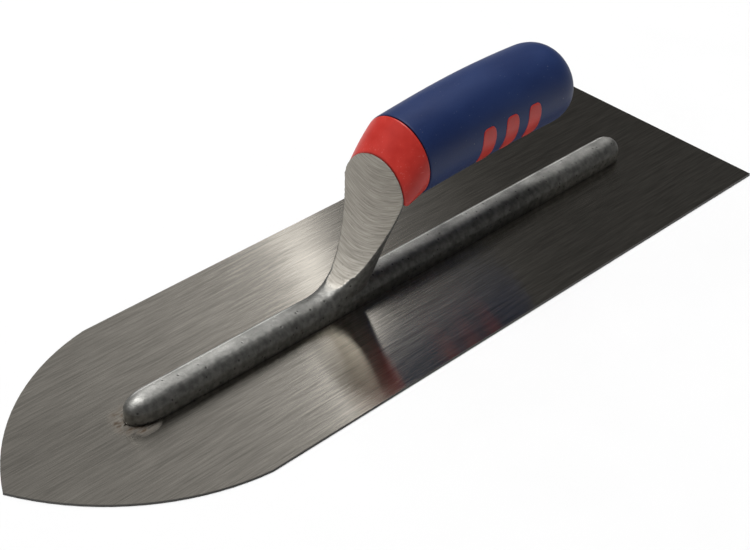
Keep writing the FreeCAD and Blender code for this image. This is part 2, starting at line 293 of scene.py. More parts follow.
def make_casting():
    """Rib and neck with their cast skin, crowned top, ground front, and rubbed crest with a painted
    highlight.
    """
    casting = remeshed("rough_casting", "mounting", CASTING_VOXEL, CASTING_ROUNDS)
    soften_foot(casting)
    points = read_points(casting.data)
    height = points[:, 2]
    skin = cast_skin(points) * (height > blade_top + SKIN_START)
    points = points + read_normals(casting.data) * skin[:, None]
    points[:, 2] -= crown_drop(points[:, 0], height)

    # The neck's front comes forward by the grinding depth, and the belt takes it back to the face.
    belt = ramp(height, GRIND_LOW, GRIND_FULL)
    face = ground_face(height)
    forward = points[:, 1] - GRIND_DEPTH * belt
    front_side = (height > GRIND_LOW) & (points[:, 1] < face + GRIND_REACH)
    ground = front_side & (forward < face)
    points[:, 1] = np.where(front_side, np.maximum(forward, face), points[:, 1])

    write_points(casting.data, points)
    write_mask(casting.data, "ground", ground * belt)
    write_mask(casting.data, "worn_and_highlight", worn_and_highlit_crest(points, height))
    smooth(casting.data)
    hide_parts("mounting")
    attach(casting, "root")
    return casting


# ---------------------------------------------------------------------------------------------
# the grip's own coordinates: station back from its mouth, radius, and turn round its axis

COLUMNS = 144
MOUTH_LEAN = math.tan(math.radians(4.8))
LEAN_REACH = 12 * MM
ARCH_START = 0.27 * MM
ARCH_DROP = 0.98 * MM
ARCH_RISE = 1.9 * MM


def turns(count):
    return [FULL_TURN * index / count for index in range(count)]


def grip_point(station, radius, turn):
    """Point on the grip: station runs back from its mouth, and turn 90 degrees is up.

    The grip is slightly arched along its length, and its mouth leans forward at the top.
    """
    share = station / grip_length
    lift = ARCH_START - ARCH_DROP * share + ARCH_RISE * math.sin(math.pi * min(max(share, 0), 1))
    up = radius * math.sin(turn)
    lean = MOUTH_LEAN * up * max(0, 1 - max(station, 0) / LEAN_REACH)
    along = handle_start + handle_axis * (station - lean)
    return along + handle_up * (up + lift) + Vector((radius * math.cos(turn), 0, 0))


def grip_ring(station, radius):
    return [grip_point(station, radius, turn) for turn in turns(COLUMNS)]


# ---------------------------------------------------------------------------------------------
# soft sleeve

SLEEVE_FRONT = 18.7 * MM
SLEEVE_MIDDLE = 19.35 * MM
SLEEVE_REAR = 19.3 * MM
SLEEVE_INNER = 16.9 * MM
SLEEVE_LIP = 0.4 * MM
LIP_STEPS = 6
BARREL_STATIONS = [millimetres * MM for millimetres in range(1, 84)]
DOME_RUN = 18.9 * MM
DOME_POWER = 2.9
DOME_STEPS = 60

# inside of the front lip, as (station, radius)
LIP_INSIDE = [(2.5 * MM, SLEEVE_INNER), (0.6 * MM, SLEEVE_INNER), (0, SLEEVE_INNER + 0.2 * MM)]

# the plug's hole: where the dome stops, and the rounding, gap and depth of the hole
HOLE_MARGIN = 0.6 * MM
HOLE_RIM = 0.35 * MM
HOLE_RIM_RISE = 0.12 * MM
HOLE_RIM_DROP = 0.2 * MM
HOLE_DEPTH = 9 * MM
PLUG_GAP = 0.15 * MM


def sleeve_radius(station):
    """Outer radius of the sleeve: a slight belly, then a rounded end."""
    dome_start = grip_length - DOME_RUN
    share = min(station / dome_start, 1)
    body = SLEEVE_FRONT + (SLEEVE_REAR - SLEEVE_FRONT) * share
    body += (SLEEVE_MIDDLE - (SLEEVE_FRONT + SLEEVE_REAR) / 2) * 4 * share * (1 - share)
    if station <= dome_start:
        return body
    reach = min((station - dome_start) / DOME_RUN, 1)
    return body * (1 - reach ** DOME_POWER) ** (1 / DOME_POWER)


def sleeve_lip():
    """Rounded front edge of the sleeve, from its face out to the barrel."""
    lip = []
    for step in range(LIP_STEPS, 0, -1):
        turn = QUARTER_TURN * step / LIP_STEPS
        lip.append((SLEEVE_LIP * (1 - math.sin(turn)), SLEEVE_FRONT - SLEEVE_LIP * (1 - math.cos(turn))))
    return lip


def sleeve_dome():
    """Rounded rear end of the sleeve, in to the plug's hole."""
    dome = []
    for step in range(DOME_STEPS):
        station = grip_length - DOME_RUN + DOME_RUN * math.sin(QUARTER_TURN * (step + 1) / DOME_STEPS)
        radius = sleeve_radius(station)
        if radius > plug_radius + HOLE_MARGIN:
            dome.append((station, radius))
    return dome


def sleeve_profile():
    """(station, radius) from inside the front lip, along the outside and into the plug's hole."""
    barrel = [(station, sleeve_radius(station)) for station in BARREL_STATIONS]
    dome = sleeve_dome()
    rim_station = dome[-1][0] + HOLE_RIM_RISE
    hole = [
        (rim_station, plug_radius + HOLE_RIM),
        (rim_station - HOLE_RIM_DROP, plug_radius + PLUG_GAP),
        (rim_station - HOLE_DEPTH, plug_radius + PLUG_GAP),
    ]
    return LIP_INSIDE + sleeve_lip() + barrel + dome + hole


def make_sleeve():
    rings = [grip_ring(station, radius) for station, radius in sleeve_profile()]
    sleeve = tube("soft_sleeve", rings)
    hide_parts("grip_sleeve")
    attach(sleeve, "root")
    return sleeve


# ---------------------------------------------------------------------------------------------
# end plug

PLUG_SINK = 0.25 * MM
# flank and softened rim: how far ahead of the plug's end, and how far inside the CAD plug's radius
PLUG_FLANK = ((10 * MM, 0.1 * MM), (1.1 * MM, 0.05 * MM), (0.75 * MM, 0.35 * MM))
PLUG_FACE_INSET = 0.7 * MM
PLUG_FACE_DROP = 0.5 * MM
PLUG_FACE_SHARES = (1, 0.85, 0.7, 0.5, 0.3, 0.12)


def make_plug():
    """Slightly sunk plug with a softened rim."""
    end = grip_length - PLUG_SINK
    outline = [(end - ahead, plug_radius - inset) for ahead, inset in PLUG_FLANK]
    outline += [(end - PLUG_FACE_DROP * share ** 2, (plug_radius - PLUG_FACE_INSET) * share)
                for share in PLUG_FACE_SHARES]
    plug = tube("round_plug", [grip_ring(station, radius) for station, radius in outline])
    close_end(plug, len(outline) - 1, COLUMNS)
    close_end(plug, 0, COLUMNS)
    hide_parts("end_plug")
    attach(plug, "root")
    return plug


# ---------------------------------------------------------------------------------------------
# collar, and the barrel of the hard core behind it

RIM_RADIUS = 17.1 * MM
RIM_HEIGHT = 52.2 * MM
RIM_Y = FACE_FRONT + 0.75 * MM
RIM_FLAT = 0.3
RIM_FACE = 6 * MM
SEAT_FRONT = Vector((0, -11, 53.5)) * MM
SEAT_REAR = Vector((0, 6, 47.0)) * MM
CUT_TOLERANCE = 1e-6
COLLAR_BULGE = 0.45 * MM
COLLAR_MOUTH = 18.4 * MM
COLLAR_MOUTH_STATION = -0.7 * MM
COLLAR_EDGE = 0.5 * MM
COLLAR_ROWS = 24

# from the collar's mouth, round its edge and down its rear face to the barrel, as (station, radius)
COLLAR_REAR = (
    (-0.5 * MM, COLLAR_MOUTH - 0.15 * MM),
    (-0.4 * MM, COLLAR_MOUTH - COLLAR_EDGE),
    (-0.4 * MM, SLEEVE_INNER + 0.2 * MM),
    (0.1 * MM, SLEEVE_INNER - 0.1 * MM),
    (60 * MM, SLEEVE_INNER - 0.1 * MM),
)


def rim_point(turn, inward):
    """Point on the collar's front rim: round above, flattened below where the neck meets it."""
    across = (RIM_RADIUS - inward) * math.cos(turn)
    up = (RIM_RADIUS - inward) * math.sin(turn)
    return Vector((across, RIM_Y, RIM_HEIGHT + (up if up > 0 else up * RIM_FLAT)))


def collar_rings():
    """Rings from the rim's face, over the slightly swollen flank, to the barrel inside the sleeve."""
    rings = [[rim_point(turn, inward) for turn in turns(COLUMNS)] for inward in (RIM_FACE, COLLAR_EDGE)]
    mouth = grip_ring(COLLAR_MOUTH_STATION, COLLAR_MOUTH)
    rim_centre = Vector((0, RIM_Y, RIM_HEIGHT))
    for step in range(COLLAR_ROWS + 1):
        share = step / COLLAR_ROWS
        swell = COLLAR_BULGE * 4 * share * (1 - share)
        centre = rim_centre.lerp(handle_start, share)
        ring = []
        for turn, end in zip(turns(COLUMNS), mouth, strict=True):
            point = rim_point(turn, 0).lerp(end, share)
            ring.append(point + (point - centre).normalized() * swell)
        rings.append(ring)
    return rings + [grip_ring(station, radius) for station, radius in COLLAR_REAR]


def cut_seat(collar):
    """Cuts the collar off along the oblique seat on top of the neck, and closes the cut."""
    seat_along = (SEAT_REAR - SEAT_FRONT).normalized()
    seat_up = ACROSS.cross(seat_along)
    work = bmesh.new()
    work.from_mesh(collar.data)
    everything = work.verts[:] + work.edges[:] + work.faces[:]
    cut = bmesh.ops.bisect_plane(work, geom=everything, dist=CUT_TOLERANCE,
                                 plane_co=SEAT_FRONT, plane_no=seat_up, clear_inner=True)
    rim = [edge for edge in cut["geom_cut"] if isinstance(edge, bmesh.types.BMEdge)]
    bmesh.ops.edgeloop_fill(work, edges=rim)
    for edge in rim:
        edge.smooth = False
    bmesh.ops.recalc_face_normals(work, faces=work.faces)
    work.to_mesh(collar.data)
    work.free()


def make_collar():
    """Collar and the barrel behind it, closed at both ends and cut to the seat on the neck."""
    rings = collar_rings()
    collar = tube("handle_collar", rings)
    close_end(collar, 0, COLUMNS)
    close_end(collar, len(rings) - 1, COLUMNS)
    cut_seat(collar)
    smooth(collar.data)
    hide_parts("handle_core")
    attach(collar, "root")
    return collar


# ---------------------------------------------------------------------------------------------
# plain bars on both flanks of the grip

PAD_STATIONS = (36, 51, 66)
PAD_LENGTH = 8.5 * MM
PAD_HEIGHT = 19 * MM
PAD_TURN = -11
PAD_PROUD = 0.22 * MM
PAD_POWER = 4
PAD_SPOKES = 64

# from under the sleeve's skin, round the edge and over the top: (share of the size, height)
PAD_EDGE = [(1.0, -0.3 * MM), (1.0, 0.12 * MM), (0.975, 0.19 * MM), (0.93, PAD_PROUD)]
PAD_TOP = [(share, PAD_PROUD) for share in (0.8, 0.6, 0.4, 0.2, 0.06)]


def pad_edge(spoke):
    """Rounded rectangle of half size 1 by 1: how far out its edge is, along and across."""
    turn = FULL_TURN * spoke / PAD_SPOKES
    along = math.cos(turn)
    across = math.sin(turn)
    return (math.copysign(abs(along) ** (2 / PAD_POWER), along),
            math.copysign(abs(across) ** (2 / PAD_POWER), across))


def make_pad(name, station, side):
    """Rounded bar, a little proud of the sleeve, upright on one flank."""
    rings = []
    for share, proud in PAD_EDGE + PAD_TOP:
        ring = []
        for spoke in range(PAD_SPOKES):
            along, across = pad_edge(spoke)
            place = station * MM + along * share * PAD_LENGTH / 2
            radius = sleeve_radius(place)
            turn = math.radians(PAD_TURN) + across * share * PAD_HEIGHT / 2 / radius
            turn = turn if side > 0 else math.pi - turn
            ring.append(grip_point(place, radius + proud, turn))
        rings.append(ring)
    pad = tube(name, rings)
    close_end(pad, len(rings) - 1, PAD_SPOKES)
    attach(pad, "root")
    return pad


def make_pads():
    return [make_pad(f"flank_pad_{side_name}_{index + 1}", station, side)
            for side_name, side in (("right", 1), ("left", -1))
            for index, station in enumerate(PAD_STATIONS)]


# ---------------------------------------------------------------------------------------------
# material helpers

# the Mix node's colour sockets share their names with its number sockets, so they go by number
MIX_FIRST = 6
MIX_SECOND = 7
MIX_RESULT = 2

# share of a speck's radius inside which it is full
SPECK_CORE = 0.4


def fill(tree, item, inputs):
    """Sets a node's inputs. Each one is a value or another node's output."""
    for name, value in inputs.items():
        if isinstance(value, bpy.types.NodeSocket):
            tree.links.new(value, item.inputs[name])
        else:
            item.inputs[name].default_value = value


def add(tree, kind, inputs=None, **settings):
    """New node with its settings and inputs."""
    item = tree.nodes.new(kind)
    for name, value in settings.items():
        setattr(item, name, value)
    fill(tree, item, inputs or {})
    return item


def new_material(name):
    """Material with its node tree and its Principled surface."""
    material = bpy.data.materials.new(name)
    material.use_nodes = True
    tree = material.node_tree
    return material, tree, tree.nodes["Principled BSDF"]


def position(tree):
    """Place on the object in millimetres."""
    place = add(tree, "ShaderNodeTexCoord").outputs["Object"]
    return add(tree, "ShaderNodeVectorMath", {0: place, "Scale": 1 / MM}, operation="SCALE").outputs[0]


def shifted(tree, place, shift):
    return add(tree, "ShaderNodeVectorMath", {0: place, 1: (shift, shift, shift)}, operation="ADD").outputs[0]


def grain(tree, place, size, detail=2.0, shift=0.0):
    """Noise between 0 and 1 whose spots are size (x, y, z) millimetres across."""
    moved = shifted(tree, place, shift)
    scaled = add(tree, "ShaderNodeVectorMath", {0: moved, 1: size}, operation="DIVIDE").outputs[0]
    return add(tree, "ShaderNodeTexNoise", {"Vector": scaled, "Scale": 1.0, "Detail": detail}).outputs["Fac"]


def span(tree, value, start, end, low=0.0, high=1.0):
    """Moves value from the range start..end to low..high, and stops at both ends."""
    return add(tree, "ShaderNodeMapRange", {"Value": value, "From Min": start, "From Max": end,
                                            "To Min": low, "To Max": high}).outputs["Result"]


def maths(tree, operation, first, second=0.0):
    return add(tree, "ShaderNodeMath", {0: first, 1: second}, operation=operation).outputs[0]


def times(tree, first, second):
    return maths(tree, "MULTIPLY", first, second)


def weighted(tree, *terms):
    """Sum of the terms, each a value and its weight."""
    total = times(tree, *terms[0])
    for value, weight in terms[1:]:
        total = maths(tree, "ADD", total, times(tree, value, weight))
    return total


def mixed(tree, share, first, second):
    """Colour between first and second."""
    inputs = {"Factor": share}
    for socket, value in ((MIX_FIRST, first), (MIX_SECOND, second)):
        inputs[socket] = value if isinstance(value, bpy.types.NodeSocket) else (*value, 1)
    return add(tree, "ShaderNodeMix", inputs, data_type="RGBA").outputs[MIX_RESULT]


def blended(tree, share, first, second):
    """Number between first and second."""
    return add(tree, "ShaderNodeMix", {"Factor": share, "A": first, "B": second}).outputs["Result"]


def mask(tree, name):
    return add(tree, "ShaderNodeAttribute", attribute_name=name).outputs["Fac"]


def bump(tree, height, depth, under=None):
    """Normal of a surface whose height runs from 0 to depth millimetres, on top of an earlier bump."""
    inputs = {"Height": height, "Distance": depth * MM, "Strength": 1.0}
    if under is not None:
        inputs["Normal"] = under
    return add(tree, "ShaderNodeBump", inputs).outputs["Normal"]


def split(tree, place):
    return add(tree, "ShaderNodeSeparateXYZ", {"Vector": place}).outputs


def across_tangent(tree):
    """Direction across the trowel, in which lengthwise brushing spreads the light."""
    return add(tree, "ShaderNodeCombineXYZ", {"X": 1.0}).outputs[0]


def specks(tree, place, cell, radius, share, shift=0.0):
    """Scattered dots: cells of that size in millimetres, a share of them with a dot in it."""
    cells = add(tree, "ShaderNodeTexVoronoi", {"Vector": shifted(tree, place, shift), "Scale": 1 / cell})
    dot = span(tree, cells.outputs["Distance"], radius / cell, SPECK_CORE * radius / cell)
    chosen = maths(tree, "LESS_THAN", split(tree, cells.outputs["Color"])[0], share)
    return times(tree, dot, chosen)


# ---------------------------------------------------------------------------------------------
# blade steel

STEEL_DARK = (0.36, 0.337, 0.297)
STEEL_LIGHT = (0.71, 0.665, 0.59)
STEEL_DIRT = (0.2, 0.19, 0.17)
# near black painted shade on the blade's upright edges
STEEL_EDGE_SHADE = (0.07, 0.068, 0.064)
RESIDUE = (0.095, 0.07, 0.05)
# residue round the rib's nose: its centre behind the nose, and where it is full and where it ends, in mm
RESIDUE_BACK = 4.5
RESIDUE_FULL = 8
RESIDUE_END = 11.5


def nose_residue(tree, place, upward):
    """Mask of the patchy residue on the blade's top round the rib's nose. upward is the face normal's Z."""
    centre = (0, rib_front / MM + RESIDUE_BACK, 1)
    away = add(tree, "ShaderNodeVectorMath", {0: place, 1: centre}, operation="DISTANCE").outputs["Value"]
    patches = span(tree, grain(tree, place, (2, 5, 2), detail=3, shift=9), 0.3, 0.6)
    residue = times(tree, span(tree, away, RESIDUE_END, RESIDUE_FULL), patches)
    return times(tree, residue, span(tree, upward, 0.2, 0.8))


def brushed_steel():
    """Cold-rolled blade steel, brushed lengthwise, with dirt specks, residue round the rib's nose and painted
    shade on its upright edges.
    """
    material, tree, surface = new_material("brushed_steel")
    place = position(tree)
    upward = split(tree, add(tree, "ShaderNodeNewGeometry").outputs["True Normal"])["Z"]
    hair = grain(tree, place, (0.42, 13, 0.42), detail=3)
    line = grain(tree, place, (0.75, 28, 0.75), shift=31)
    band = grain(tree, place, (6, 220, 6), shift=67)
    cloud = grain(tree, place, (60, 90, 60), shift=113)
    streak = weighted(tree, (hair, 0.6), (line, 0.3), (band, 0.1))
    residue = nose_residue(tree, place, upward)
    dirt = specks(tree, place, cell=5.0, radius=0.35, share=0.12)
    # painted shade: the blade's upright edges and hole walls turn near black
    edge = span(tree, maths(tree, "ABSOLUTE", upward), 0.8, 0.4)

    tone = mixed(tree, span(tree, streak, 0.34, 0.66), STEEL_DARK, STEEL_LIGHT)
    tone = mixed(tree, residue, tone, RESIDUE)
    tone = mixed(tree, times(tree, dirt, 0.5), tone, STEEL_DIRT)
    tone = mixed(tree, edge, tone, STEEL_EDGE_SHADE)

    rough = span(tree, streak, 0.3, 0.7, low=0.18, high=0.25)
    rough = maths(tree, "ADD", rough, span(tree, cloud, 0.3, 0.7, low=-0.02, high=0.03))
    rough = maths(tree, "ADD", rough, times(tree, residue, 0.4))
    bare = maths(tree, "SUBTRACT", 1.0, times(tree, residue, 0.8))
    fill(tree, surface, {"Base Color": tone, "Metallic": bare, "Roughness": rough, "Anisotropic": 1.0,
                         "Tangent": across_tangent(tree), "Normal": bump(tree, streak, 0.002)})
    return material


# ---------------------------------------------------------------------------------------------
# cast aluminium

CAST_DARK = (0.15, 0.15, 0.141)
CAST_LIGHT = (0.25, 0.247, 0.233)
# rubbed crest tones, the lighter one partly a painted highlight
WORN_HIGHLIT_DARK = (0.27, 0.267, 0.252)
WORN_HIGHLIT_LIGHT = (0.55, 0.542, 0.515)
PIT = (0.05, 0.05, 0.047)
# near white of the painted glints on the rib's top
FLECK_GLINT = (0.85, 0.84, 0.81)
# near white of the highlight painted along the seam
SEAM_HIGHLIGHT = (0.9, 0.89, 0.86)
SEAM_HIGHLIGHT_LINE = -3.4
GROUND_DARK = (0.27, 0.252, 0.22)
GROUND_LIGHT = (0.48, 0.453, 0.405)
GROUND_PIT = (0.2, 0.19, 0.17)
GRIND_ARCH = 0.022


def grind_marks(tree, place):
    """Fine arcs left by a grinding belt, curved about a point below the neck."""
    axes = split(tree, place)
    spread = times(tree, axes["X"], axes["X"])
    arch = maths(tree, "SUBTRACT", axes["Z"], times(tree, spread, GRIND_ARCH))
    swept = add(tree, "ShaderNodeCombineXYZ", {"X": axes["X"], "Y": arch}).outputs[0]
    coarse = grain(tree, swept, (11, 0.6, 1), shift=5)
    fine = grain(tree, swept, (7, 0.27, 1), shift=23)
    return weighted(tree, (coarse, 0.6), (fine, 0.4))


def cast_tone(tree, skin, patch, rubbed_and_highlit):
    """Dull grey of the sand-cast skin, brighter where it is rubbed and where a highlight is painted on the
    rib's top.
    """
    dull = mixed(tree, span(tree, skin, 0.35, 0.65), CAST_DARK, CAST_LIGHT)
    rubbed_highlit_tone = mixed(tree, span(tree, patch, 0.35, 0.65), WORN_HIGHLIT_DARK, WORN_HIGHLIT_LIGHT)
    return mixed(tree, rubbed_and_highlit, dull, rubbed_highlit_tone)


def ground_tone(tree, marks, pits):
    """Pale grey of the belt-ground face, with its marks and small pits."""
    tone = mixed(tree, span(tree, marks, 0.35, 0.65), GROUND_DARK, GROUND_LIGHT)
    return mixed(tree, times(tree, pits, 0.6), tone, GROUND_PIT)


def seam_highlight_mask(tree, across, worn_and_highlight, patch):
    """Broken bright line along the rib's top: a highlight painted on the ridge where the two halves of the
    mould met.
    """
    off_line = maths(tree, "ABSOLUTE", maths(tree, "ADD", across, -SEAM_HIGHLIGHT_LINE))
    seam_ridge_and_highlight = span(tree, off_line, 0.7, 0.2)
    return times(tree, seam_ridge_and_highlight, times(tree, worn_and_highlight, span(tree, patch, 0.3, 0.5)))


def cast_aluminium():
    """Sand-cast skin, dull and pitted, rubbed bright with a painted highlight, painted glints and a painted
    highlight line on the rib's top, and belt-ground on the neck.
    """
    material, tree, surface = new_material("cast_aluminium")
    place = position(tree)
    across = split(tree, place)["X"]
    ground = mask(tree, "ground")
    worn_and_highlight = mask(tree, "worn_and_highlight")
    skin = grain(tree, place, (2.6, 2.6, 2.6), detail=5)
    fine = grain(tree, place, (0.7, 0.7, 0.7), detail=3, shift=41)
    patch = grain(tree, place, (9, 16, 9), detail=3, shift=77)
    marks = grind_marks(tree, place)
    pits = specks(tree, place, cell=3.0, radius=0.62, share=0.5)
    small_pits = specks(tree, place, cell=1.5, radius=0.3, share=0.42, shift=19)
    # painted glints: bright flecks on the far side of the rubbed crest
    glint_flecks = specks(tree, place, cell=1.7, radius=0.5, share=0.5, shift=61)
    glint_flecks = times(tree, glint_flecks, times(tree, worn_and_highlight, span(tree, across, -0.5, -2.5)))
    # rubbed crest, partly a painted highlight on the rib's top
    rubbed_and_highlit = times(tree, worn_and_highlight, span(tree, fine, 0.25, 0.6, low=0.55))
    seam_ridge_and_highlight = seam_highlight_mask(tree, across, worn_and_highlight, patch)

    tone = cast_tone(tree, skin, patch, rubbed_and_highlit)
    tone = mixed(tree, times(tree, pits, 0.9), tone, PIT)
    tone = mixed(tree, times(tree, glint_flecks, 0.75), tone, FLECK_GLINT)
    tone = mixed(tree, ground, tone, ground_tone(tree, marks, small_pits))
    # painted highlight along the seam ridge
    tone = mixed(tree, times(tree, seam_ridge_and_highlight, 0.8), tone, SEAM_HIGHLIGHT)

    rough = blended(tree, rubbed_and_highlit, 0.56, 0.52)
    rough = blended(tree, ground, rough, 0.5)

    cast_height = weighted(tree, (skin, 0.7), (fine, 0.3), (pits, -0.6), (seam_ridge_and_highlight, 0.5))
    ground_height = weighted(tree, (marks, 1.0), (small_pits, -0.8))
    normal = bump(tree, times(tree, cast_height, maths(tree, "SUBTRACT", 1.0, ground)), 0.2)
    normal = bump(tree, times(tree, ground_height, ground), 0.09, under=normal)

    # The belt's scratches run across, so the ground face spreads light up and down, not sideways.
    fill(tree, surface, {"Base Color": tone, "Metallic": 1.0, "Roughness": rough, "Normal": normal,
                         "Anisotropic": times(tree, ground, 0.85), "Anisotropic Rotation": 0.25,
                         "Tangent": across_tangent(tree)})
    return material


# ---------------------------------------------------------------------------------------------
# plastics

RED_DARK = (0.46, 0.025, 0.018)
RED_LIGHT = (0.56, 0.037, 0.027)
RED_SCUFF = (0.75, 0.28, 0.24)
RED_DOT = (0.16, 0.02, 0.02)
BLUE_DARK = (0.0085, 0.0205, 0.082)
BLUE_LIGHT = (0.0125, 0.029, 0.105)
BLUE_GRAIN = (0.02, 0.04, 0.125)
BLUE_DUST = (0.30, 0.32, 0.36)
BLUE_SHEEN = (0.6, 0.7, 1.0, 1.0)


def red_plastic():
    """Moulded red plastic with a satin skin, faint mottling and pale scuffs."""
    material, tree, surface = new_material("red_plastic")
    place = position(tree)
    cloud = grain(tree, place, (7, 7, 7), detail=3)
    skin = grain(tree, place, (0.5, 0.5, 0.5), shift=17)
    scuff = span(tree, grain(tree, place, (0.8, 4, 0.8), detail=4, shift=51), 0.62, 0.74)
    scuff = times(tree, scuff, span(tree, cloud, 0.45, 0.62))
    dots = specks(tree, place, cell=2.6, radius=0.22, share=0.10)

    tone = mixed(tree, span(tree, cloud, 0.3, 0.7), RED_DARK, RED_LIGHT)
    tone = mixed(tree, times(tree, scuff, 0.35), tone, RED_SCUFF)
    tone = mixed(tree, times(tree, dots, 0.5), tone, RED_DOT)
    rough = span(tree, cloud, 0.3, 0.7, low=0.36, high=0.46)
    fill(tree, surface, {"Base Color": tone, "Roughness": rough, "Specular IOR Level": 0.32,
                         "Normal": bump(tree, skin, 0.03)})
    return material


def blue_rubber():
    """Soft blue grip rubber: fine matt grain, dust in it and a little gloss where hands rub it."""
    material, tree, surface = new_material("blue_rubber")
    place = position(tree)
    skin = grain(tree, place, (0.45, 0.45, 0.45))
    cloud = grain(tree, place, (12, 26, 12), detail=3, shift=29)
    dust = specks(tree, place, cell=1.5, radius=0.2, share=0.22)
    fleck = specks(tree, place, cell=4.3, radius=0.3, share=0.2, shift=37)
    dust = maths(tree, "MAXIMUM", times(tree, dust, 0.35), times(tree, fleck, 0.6))

    tone = mixed(tree, span(tree, cloud, 0.3, 0.7), BLUE_DARK, BLUE_LIGHT)
    tone = mixed(tree, span(tree, skin, 0.3, 0.7, high=0.25), tone, BLUE_GRAIN)
    tone = mixed(tree, dust, tone, BLUE_DUST)
    rough = span(tree, cloud, 0.3, 0.7, low=0.46, high=0.56)
    fill(tree, surface, {"Base Color": tone, "Roughness": rough, "Specular IOR Level": 0.25,
                         "Sheen Weight": 0.03, "Sheen Roughness": 0.5, "Sheen Tint": BLUE_SHEEN,
                         "Normal": bump(tree, skin, 0.05)})
    return material


# ---------------------------------------------------------------------------------------------
# fasteners and floor

RIVET_DARK = (0.36, 0.36, 0.35)
RIVET_LIGHT = (0.55, 0.54, 0.52)
ZINC_DARK = (0.55, 0.57, 0.58)
ZINC_LIGHT = (0.68, 0.69, 0.68)
PAPER_DARK = (0.86, 0.86, 0.86)
PAPER_LIGHT = (0.88, 0.88, 0.88)


def rivet_steel():
    """Rivet heads filed flush with the blade, with the file's scratches."""
    material, tree, surface = new_material("rivet_steel")
    scratch = grain(tree, position(tree), (0.25, 8, 0.25), detail=3)
    tone = mixed(tree, span(tree, scratch, 0.35, 0.65), RIVET_DARK, RIVET_LIGHT)
    rough = span(tree, scratch, 0.3, 0.7, low=0.3, high=0.45)
    fill(tree, surface, {"Base Color": tone, "Metallic": 1.0, "Roughness": rough,
                         "Normal": bump(tree, scratch, 0.01)})
    return material


def zinc_steel():
    """Bright zinc plating with a faint crystal pattern."""
    material, tree, surface = new_material("zinc_steel")
    place = position(tree)
    crystal = add(tree, "ShaderNodeTexVoronoi", {"Vector": place, "Scale": 0.9}).outputs["Color"]
    shade = split(tree, crystal)["X"]
    tone = mixed(tree, shade, ZINC_DARK, ZINC_LIGHT)
    rough = span(tree, shade, 0, 1, low=0.25, high=0.38)
    fill(tree, surface, {"Base Color": tone, "Metallic": 1.0, "Roughness": rough,
                         "Normal": bump(tree, grain(tree, place, (0.3, 0.3, 0.3)), 0.01)})
    return material


def pale_paper():
    """Matt off-white studio floor."""
    material, tree, surface = new_material("pale_paper")
    tone = mixed(tree, grain(tree, position(tree), (40, 40, 40)), PAPER_DARK, PAPER_LIGHT)
    fill(tree, surface, {"Base Color": tone, "Roughness": 0.9, "Specular IOR Level": 0.1})
    return material


def paint(piece, material):
    """The piece shows this material on all its faces."""
    if not piece.material_slots:
        piece.data.materials.append(material)
    for slot in piece.material_slots:
        slot.material = material


# ---------------------------------------------------------------------------------------------
# build the pieces and give every visible CAD node its finish

steel = brushed_steel()
aluminium = cast_aluminium()
red = red_plastic()
blue = blue_rubber()
rivets = rivet_steel()
zinc = zinc_steel()

paint(make_casting(), aluminium)
paint(make_sleeve(), blue)
paint(make_plug(), blue)
paint(make_collar(), red)
for pad in make_pads():
    paint(pad, red)
paint(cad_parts["blade"], steel)
for name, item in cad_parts.items():
    if name.startswith("blade_rivet"):
        paint(item, rivets)
    elif name in ("handle_bolt", "bolt_washer"):
        paint(item, zinc)


# ---------------------------------------------------------------------------------------------
# camera

VIEW_AZIMUTH = 41.1
VIEW_ELEVATION = 35.6
VIEW_ROLL = 4.75
VIEW_DISTANCE = 0.7595
VIEW_TARGET = Vector((-3.7, -1.6, 2.5)) * MM
LENS = 82.9
SENSOR = 36


def view_matrix(azimuth, elevation, roll):
    """Rotation of a camera on that side of the object, turned by roll about its own axis."""
    azimuth, elevation, roll = (math.radians(angle) for angle in (azimuth, elevation, roll))
    back = Vector((math.sin(azimuth) * math.cos(elevation), -math.cos(azimuth) * math.cos(elevation),
                   math.sin(elevation)))
    right = Vector((math.cos(azimuth), math.sin(azimuth), 0))
    upright = Matrix((right, back.cross(right), back)).transposed()
    return upright @ Matrix.Rotation(roll, 3, "Z")


def make_camera():
    data = bpy.data.cameras.new("camera")
    data.sensor_width = SENSOR
    data.lens = LENS
    camera = link("camera", data)
    turn = view_matrix(VIEW_AZIMUTH, VIEW_ELEVATION, VIEW_ROLL)
    place = VIEW_TARGET + turn.col[2] * VIEW_DISTANCE
    camera.matrix_world = Matrix.Translation(place) @ turn.to_4x4()
    bpy.context.scene.camera = camera


# ---------------------------------------------------------------------------------------------
# floor, lamps and world

FLOOR_SIZE = 12
FLOOR_STEPS = 4
FLOOR_DROP = 0.05 * MM

# the key light's azimuth and elevation, and the width of its disc, in degrees
KEY_TOWARDS = (100, 73)
KEY_STRENGTH = 3.4
KEY_SOFTNESS = 26

# places and sizes in metres, powers in watts
FRONT_PLACE = Vector((-0.85, -1.09, 0.8))
FRONT_SIZE = (0.7, 0.7)
FRONT_POWER = 1.3
LOW_PLACE = Vector((1.3, -1.4, 0.55))
LOW_SIZE = (1.5, 0.7)
LOW_POWER = 0.5

STUDIO_GLOW = 0.06
BACKDROP_GLOW = 1.0


def panel_mesh(name, width, height, steps):
    """Flat grid in its own XY plane, centred on its origin."""
    row = steps + 1
    points = [(width * (i / steps - 0.5), height * (j / steps - 0.5), 0)
              for j in range(row) for i in range(row)]
    faces = [(j * row + i, j * row + i + 1, (j + 1) * row + i + 1, (j + 1) * row + i)
             for j in range(steps) for i in range(steps)]
    mesh = bpy.data.meshes.new(name)
    mesh.from_pydata(points, [], faces)
    return mesh


def facing(place, target):
    """Transform at place whose own Z axis looks at the target."""
    turn = (target - place).to_track_quat("Z", "Y")
    return Matrix.Translation(place) @ turn.to_matrix().to_4x4()


